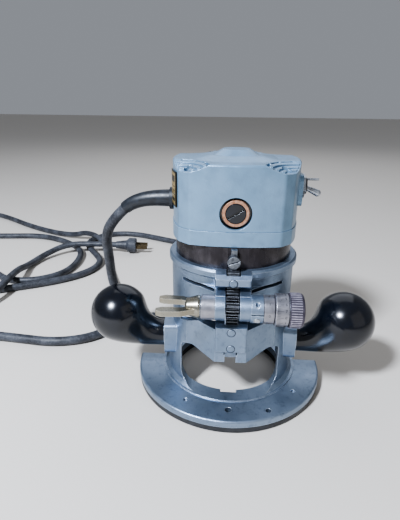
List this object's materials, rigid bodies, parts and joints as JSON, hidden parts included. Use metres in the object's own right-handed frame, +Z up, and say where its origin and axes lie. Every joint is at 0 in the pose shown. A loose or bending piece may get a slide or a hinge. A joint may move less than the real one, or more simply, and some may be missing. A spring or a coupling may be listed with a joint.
{
  "type": "fixed-base woodworking router",
  "caption": "Corded fixed-base woodworking router: a motor in a cast base with pear-shaped side handles, rack and pinion depth shaft, dial, wing-nut clamp and toggle switch.",
  "frame": {"origin": "centre of the cutter opening at the underside of the base, on the spindle axis", "axes": "+Z up along the spindle axis, -Y towards the front with the depth shaft, +X along the depth shaft towards its knob"},
  "size_m": [0.6431, 0.5441, 0.1874],
  "materials": {
    "cast_aluminium": "bare cast aluminium, dull, with machined bright edges",
    "turned_aluminium": "turned and knurled aluminium, handled dull",
    "housing_paint": "light blue-grey paint on a casting, semi-gloss",
    "motor_tube_paint": "dark brown oiled steel tube, satin",
    "plated_steel": "worn bright plating",
    "blackened_steel": "blackened steel, oiled",
    "worn_nickel": "nickel plating worn through to brass",
    "brass": "lacquered brass",
    "lamination_steel": "stacked steel sheet, varnished",
    "winding_wire": "copper",
    "carbon": "pressed carbon, matt",
    "handle_plastic": "black moulded phenolic, glossy",
    "brush_plastic": "black moulded phenolic",
    "sub_base_plastic": "black laminate, worn",
    "cord_rubber": "dark grey rubber, dusty",
    "relief_rubber": "black rubber, shiny from handling"
  },
  "bodies": {
    "base": {"base_casting": "cast_aluminium", "sub_base": "sub_base_plastic", "sub_base_screws": "plated_steel", "left_handle": "handle_plastic", "right_handle": "handle_plastic", "handle_studs": "plated_steel", "handle_washers": "plated_steel", "clamp_sleeve": "plated_steel", "clamp_collar": "cast_aluminium", "clamp_collar_screw": "plated_steel", "index_sleeve": "turned_aluminium", "wing_nut_washer": "plated_steel", "cord_tube": "cord_rubber", "plug_body": "cord_rubber", "plug_pins": "brass"},
    "motor": {"motor_case": "motor_tube_paint", "rack": "plated_steel", "rack_screws": "plated_steel", "lower_end_cap": "cast_aluminium", "lower_bearing": "plated_steel", "upper_bearing": "plated_steel", "field_core": "lamination_steel", "field_windings": "winding_wire", "housing_ring": "housing_paint", "upper_housing": "housing_paint", "housing_screws": "plated_steel", "nameplate": "brass", "bearing_carrier": "sub_base_plastic", "brush_holders": "brass", "brushes": "carbon", "brush_springs": "plated_steel", "brush_sleeves": "brush_plastic", "brush_rings": "winding_wire", "brush_caps": "brush_plastic", "switch_body": "brush_plastic", "switch_nut": "plated_steel", "switch_guard": "plated_steel", "strain_relief": "relief_rubber"},
    "spindle": {"spindle": "plated_steel", "collet": "plated_steel", "collet_nut": "plated_steel", "cooling_fan": "sub_base_plastic", "armature_core": "lamination_steel", "armature_windings": "winding_wire", "commutator": "winding_wire"},
    "depth_shaft": {"pinion_shaft": "blackened_steel", "depth_knob": "turned_aluminium", "dial_washer": "blackened_steel"},
    "dial": {"graduated_dial": "turned_aluminium"},
    "wing_nut": {"wing_nut": "worn_nickel"},
    "switch_lever": {"switch_lever": "plated_steel"}
  },
  "joints": [
    {"name": "motor_lift", "type": "slide", "parent": "base", "child": "motor", "axis": [0, 0, 1], "range_m": [-0.012, 0.02], "deforming": ["cord_tube"]},
    {"name": "pinion_turn", "type": "hinge", "parent": "base", "child": "depth_shaft", "pos_m": [0, -0.06, 0.0913], "axis": [1, 0, 0], "range_deg": [-102, 170]},
    {"name": "dial_turn", "type": "hinge", "parent": "depth_shaft", "child": "dial", "pos_m": [0, -0.06, 0.0913], "axis": [1, 0, 0], "range_deg": [-180, 180]},
    {"name": "wing_nut_turn", "type": "hinge", "parent": "base", "child": "wing_nut", "pos_m": [0, -0.06, 0.0913], "axis": [1, 0, 0], "range_deg": [-90, 180]},
    {"name": "spindle_spin", "type": "hinge", "parent": "motor", "child": "spindle", "pos_m": [0, 0, 0.1], "axis": [0, 0, 1], "continuous": true},
    {"name": "switch_toggle", "type": "hinge", "parent": "motor", "child": "switch_lever", "pos_m": [0.0466, -0.005, 0.163], "axis": [0, -1, 0], "range_deg": [0, 46]}
  ],
  "couplings": [
    {"joint": "pinion_turn", "follows": "motor_lift", "rad_per_m": 148.15}
  ]
}
